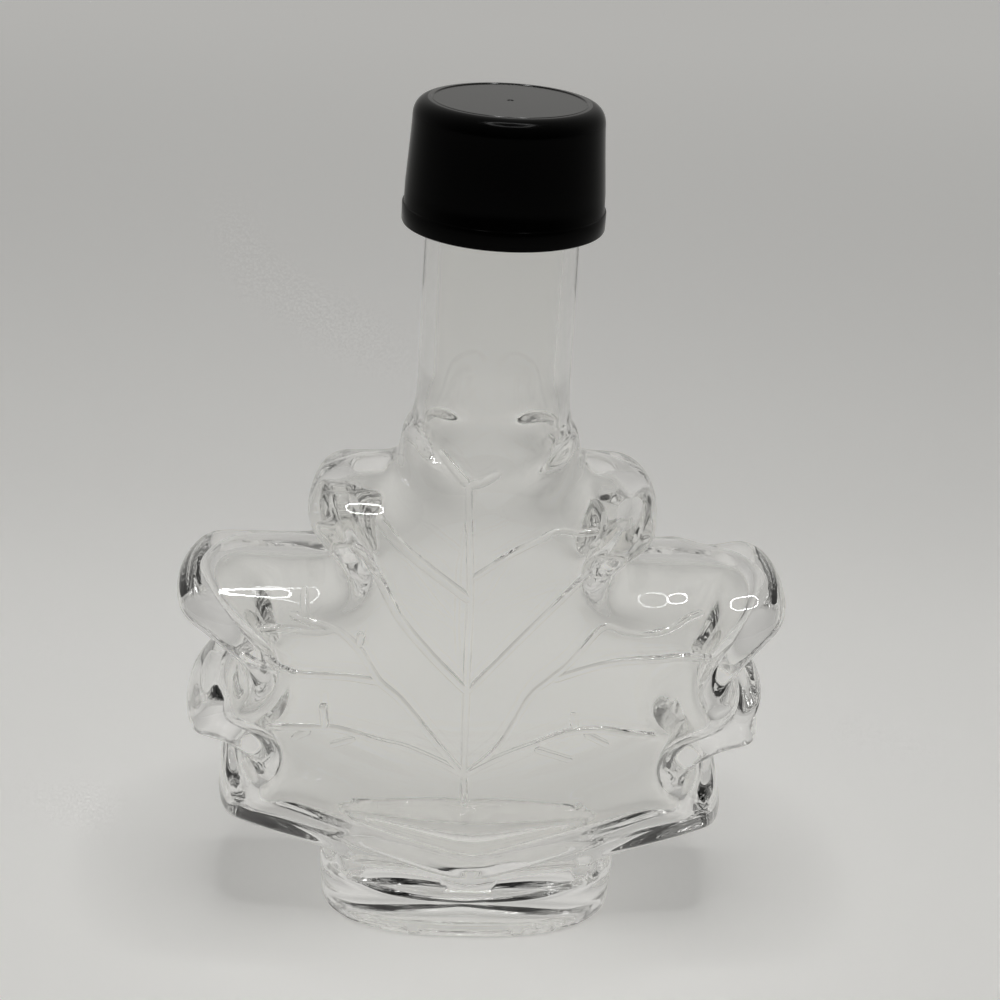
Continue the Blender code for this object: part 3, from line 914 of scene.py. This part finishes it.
@dataclass
class ScrewCap:
    """The black screw cap: band, skirt, rounded shoulder and a round disc on top, in millimetres."""

    sides: int = 160
    bottom: float = 121.4
    band_top: float = 124.3
    top: float = 139.5
    radius: float = 15.0
    rim_width: float = 1.1
    rim_round: float = 0.3
    rim_corner: float = 0.09
    band_round: float = 0.25
    band_corner: float = 0.07
    band_step: float = 0.22
    skirt: tuple[Point2, ...] = (
        (14.72, 124.42), (14.65, 127.0), (14.4, 130.0), (14.15, 133.0), (14.0, 135.0))
    shoulder_radius: float = 13.9
    shoulder_height: float = 2.9
    shoulder_power: float = 2.3
    shoulder_steps: int = 16
    disc_radius: float = 11.3
    disc_drop: float = 0.13
    lip_low: float = 0.06
    lip_start: float = 0.08
    lip_end: float = 0.26
    lip_foot: float = 0.38
    gate_radius: float = 0.5
    gate_slope: float = 0.1
    gate_drop: float = 0.26
    pip_radius: float = 0.12
    pip_drop: float = 0.2
    sheen_margin: float = 0.6
    sheen_depth: float = 1.0
    inner_radius: float = 12.6
    inner_chamfer: float = 0.9
    inner_top: float = 137.7
    near: float = 0.01
    sharp_angle: float = math.radians(32.0)
    finish: BlackPlastic = BlackPlastic()

    def outside(self) -> list[Point2]:
        """Draw the cap's outer profile.

        Returns:
            Rows of (radius, height), from the inner edge of its rim up to the middle of its top.
        """
        profile = [(self.radius - self.rim_width, self.bottom),
                   (self.radius - self.rim_round, self.bottom),
                   (self.radius - self.rim_corner, self.bottom + self.rim_corner),
                   (self.radius, self.bottom + self.rim_round),
                   (self.radius, self.band_top - self.band_round),
                   (self.radius - self.band_corner, self.band_top - self.band_corner),
                   (self.radius - self.band_step, self.band_top)]
        profile += list(self.skirt)
        shoulder_z = self.top - self.shoulder_height
        power = self.shoulder_power
        for piece in range(self.shoulder_steps + 1):
            angle = 0.5 * math.pi * piece / self.shoulder_steps
            wide, tall = math.cos(angle), math.sin(angle)
            size = (wide ** power + tall ** power) ** (-1.0 / power)
            profile.append((self.disc_radius + (self.shoulder_radius - self.disc_radius) * wide * size,
                            shoulder_z + (self.shoulder_height - self.lip_low) * tall * size))
        return profile + [(self.disc_radius - self.lip_start, self.top),
                          (self.disc_radius - self.lip_end, self.top),
                          (self.disc_radius - self.lip_foot, self.top - self.disc_drop),
                          (self.gate_radius, self.top - self.disc_drop),
                          (self.gate_radius - self.gate_slope, self.top - self.gate_drop),
                          (self.pip_radius, self.top - self.pip_drop)]

    def build(self) -> bpy.types.Object:
        """Make the cap by extruding and scaling rings, as on a lathe.

        Returns:
            The finished cap.
        """
        profile = [(radius * MM, height * MM) for radius, height in self.outside()]
        deselect()
        bpy.ops.mesh.primitive_circle_add(vertices=self.sides, radius=profile[0][0], fill_type="NOTHING",
                                          location=(0.0, 0.0, profile[0][1]))
        cap = named("screw_cap")
        settle_place(cap)
        self.climb(profile)
        bpy.ops.mesh.fill()
        bpy.ops.mesh.select_all(action="DESELECT")
        bpy.ops.object.mode_set(mode="OBJECT")
        heights = places(cap)[:, 2]
        radii = np.hypot(*places(cap)[:, :2].T)
        start = (heights < profile[0][1] + self.near * MM) & (radii < profile[0][0] + self.near * MM)
        cap.data.vertices.foreach_set("select", start)
        edges = [all(start[index] for index in edge.vertices) for edge in cap.data.edges]
        cap.data.edges.foreach_set("select", edges)
        bpy.ops.object.mode_set(mode="EDIT")
        bpy.ops.mesh.select_mode(type="EDGE")
        inside = [profile[0], (self.inner_radius * MM, (self.bottom + self.inner_chamfer) * MM),
                  (self.inner_radius * MM, self.inner_top * MM)]
        self.climb(inside)
        bpy.ops.mesh.fill()
        close_shell()
        activate(cap)
        bpy.ops.object.shade_smooth_by_angle(angle=self.sharp_angle)
        cap.data.materials.clear()
        cap.data.materials.append(self.finish.build(self.finish.slot, self.finish.ior))
        # Painted sheen: the faces of the top disc, picked below, take this more reflective copy of the
        # plastic.
        cap.data.materials.append(self.finish.build("painted_sheen_disc", self.finish.disc_ior))
        for face in cap.data.polygons:
            x, y, z = np.array(face.center) / MM
            near_top = z > self.top - self.sheen_depth
            if near_top and math.hypot(x, y) < self.disc_radius + self.sheen_margin:
                face.material_index = 1
        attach(cap, "root")
        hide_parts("cap")
        return cap

    def climb(self, profile: list[Point2]) -> None:
        """Extrude the selected ring along a profile.

        Args:
            profile: rows of (radius, height) in metres, from the selected ring on.
        """
        if bpy.context.mode == "OBJECT":
            edit_all()
        for (radius, height), (next_radius, next_height) in zip(profile, profile[1:]):
            rise = (0.0, 0.0, next_height - height)
            bpy.ops.mesh.extrude_edges_move(TRANSFORM_OT_translate={"value": rise})
            ratio = next_radius / radius
            bpy.ops.transform.resize(value=(ratio, ratio, 1.0), center_override=(0.0, 0.0, next_height))


@dataclass
class Studio:
    """Plain pale paper, soft light and the camera, in metres.

    A glow or a fade is where it starts, where it ends, and its values there. The paper's glow changes
    from front to back, and the light all round with the direction that it comes from.
    """

    sweep_colour: Colour = (0.80, 0.792, 0.765, 1.0)
    sweep_roughness: float = 0.9
    paper_size: float = 4.0
    near_glow: Levels = (0.07, 0.18, 0.44, 0.39)
    far_glow: Levels = (0.25, 0.90, 0.0, 0.10)
    camera_place: Point3 = (-0.01556, -0.24481, 0.19206)
    yaw: float = math.radians(4.1225)
    pitch: float = math.radians(25.2627)
    roll: float = math.radians(3.5854)
    lens: float = 61.62
    sensor_width: float = 36.0
    clip_start: float = 0.01
    ring_place: Point3 = (0.0, -0.06, 0.46)
    ring_radius: float = 0.09
    ring_colour: Colour = (0.8, 0.8, 0.8, 1.0)
    ring_light: Colour = (1.0, 1.0, 1.0, 1.0)
    ring_glow: float = 38.0
    lamps: int = 32
    lamp_radius: float = 0.0075
    lamp_depth: float = 0.002
    lamp_sides: int = 12
    side_fade: Levels = (-0.75, 0.35, 0.01, 0.47)
    top_fade: Levels = (0.10, 0.85, 0.0, 0.20)
    tint: Colour = (1.0, 0.99, 0.96, 1.0)
    light_bounces: int = 20

    def camera(self) -> None:
        """Place the camera, looking down a little at the bottle's front."""
        level = math.cos(self.pitch)
        ahead = Vector((math.sin(self.yaw) * level, math.cos(self.yaw) * level, -math.sin(self.pitch)))
        right = Vector((math.cos(self.yaw), -math.sin(self.yaw), 0.0))
        up = right.cross(ahead)
        turned_right = math.cos(self.roll) * right + math.sin(self.roll) * up
        turned_up = math.cos(self.roll) * up - math.sin(self.roll) * right
        turn = Matrix((turned_right, turned_up, -ahead)).transposed().to_4x4()
        deselect()
        bpy.ops.object.camera_add()
        eye = bpy.context.active_object
        eye.name = "camera"
        eye.matrix_world = Matrix.Translation(self.camera_place) @ turn
        eye.data.sensor_width = self.sensor_width
        eye.data.lens = self.lens
        eye.data.clip_start = self.clip_start
        bpy.context.scene.camera = eye

    def sweep(self) -> None:
        """Lay a wide sheet of pale paper that glows a little, less so behind the bottle: the glow is painted
        light that lifts the shade round and under the bottle, and its dip behind the bottle is painted
        shade.
        """
        deselect()
        bpy.ops.mesh.primitive_plane_add(size=self.paper_size)
        floor = named("sweep")
        paper = bpy.data.materials.new("sweep_paper")
        paper.use_nodes = True
        tree = paper.node_tree
        shader = tree.nodes["Principled BSDF"]
        shader.inputs["Base Color"].default_value = self.sweep_colour
        shader.inputs["Roughness"].default_value = self.sweep_roughness
        shader.inputs["Emission Color"].default_value = self.sweep_colour
        place = tree.nodes.new("ShaderNodeTexCoord")
        parts = tree.nodes.new("ShaderNodeSeparateXYZ")
        tree.links.new(place.outputs["Object"], parts.inputs["Vector"])
        depth = parts.outputs["Y"]
        # Painted light: the paper's glow stands in for light reaching the table, and is weaker behind the
        # bottle as painted shade.
        add_up(tree, fade(tree, depth, self.near_glow), fade(tree, depth, self.far_glow),
               shader.inputs["Emission Strength"])
        floor.data.materials.append(paper)

    def ring_lamp(self) -> None:
        """Hang a ring of small round lamps above the bottle."""
        glow = bpy.data.materials.new("ring_glow")
        glow.use_nodes = True
        shader = glow.node_tree.nodes["Principled BSDF"]
        shader.inputs["Base Color"].default_value = self.ring_colour
        shader.inputs["Emission Color"].default_value = self.ring_light
        shader.inputs["Emission Strength"].default_value = self.ring_glow
        deselect()
        bpy.ops.mesh.primitive_cylinder_add(vertices=self.lamp_sides, radius=self.lamp_radius,
                                            depth=self.lamp_depth, location=(self.ring_radius, 0.0, 0.0))
        ring = named("ring_lamp")
        settle_place(ring)
        activate(ring)
        edit_all()
        bpy.ops.mesh.spin(steps=self.lamps, dupli=True, angle=2.0 * math.pi * (self.lamps - 1) / self.lamps,
                          center=(0.0, 0.0, 0.0), axis=(0.0, 0.0, 1.0))
        bpy.ops.object.mode_set(mode="OBJECT")
        ring.location = self.ring_place
        settle_place(ring)
        ring.data.materials.append(glow)

    def tent(self) -> None:
        """Surround the table with soft light, weaker from the front, that only glass and gloss show."""
        world = bpy.data.worlds.new("tent")
        world.use_nodes = True
        tree = world.node_tree
        background = tree.nodes["Background"]
        way = tree.nodes.new("ShaderNodeTexCoord")
        parts = tree.nodes.new("ShaderNodeSeparateXYZ")
        tree.links.new(way.outputs["Generated"], parts.inputs["Vector"])
        add_up(tree, fade(tree, parts.outputs["Y"], self.side_fade),
               fade(tree, parts.outputs["Z"], self.top_fade), background.inputs["Strength"])
        background.inputs["Color"].default_value = self.tint
        bpy.context.scene.world = world
        world.cycles_visibility.diffuse = False

    def build(self) -> None:
        """Set up the whole studio."""
        self.camera()
        self.sweep()
        self.ring_lamp()
        self.tent()
        scene = bpy.context.scene
        scene.view_settings.view_transform = "Standard"
        scene.cycles.max_bounces = self.light_bounces
        scene.cycles.glossy_bounces = self.light_bounces
        scene.cycles.transmission_bounces = self.light_bounces


def main() -> None:
    """Build every piece in turn and report it."""
    logging.basicConfig(level=logging.INFO, format="%(name)s: %(message)s")
    for piece in (GlassBottle().build(), ScrewCap().build()):
        LOG.info("%s has %d faces", piece.name, len(piece.data.polygons))
    Studio().build()


if __name__ == "__main__":
    main()
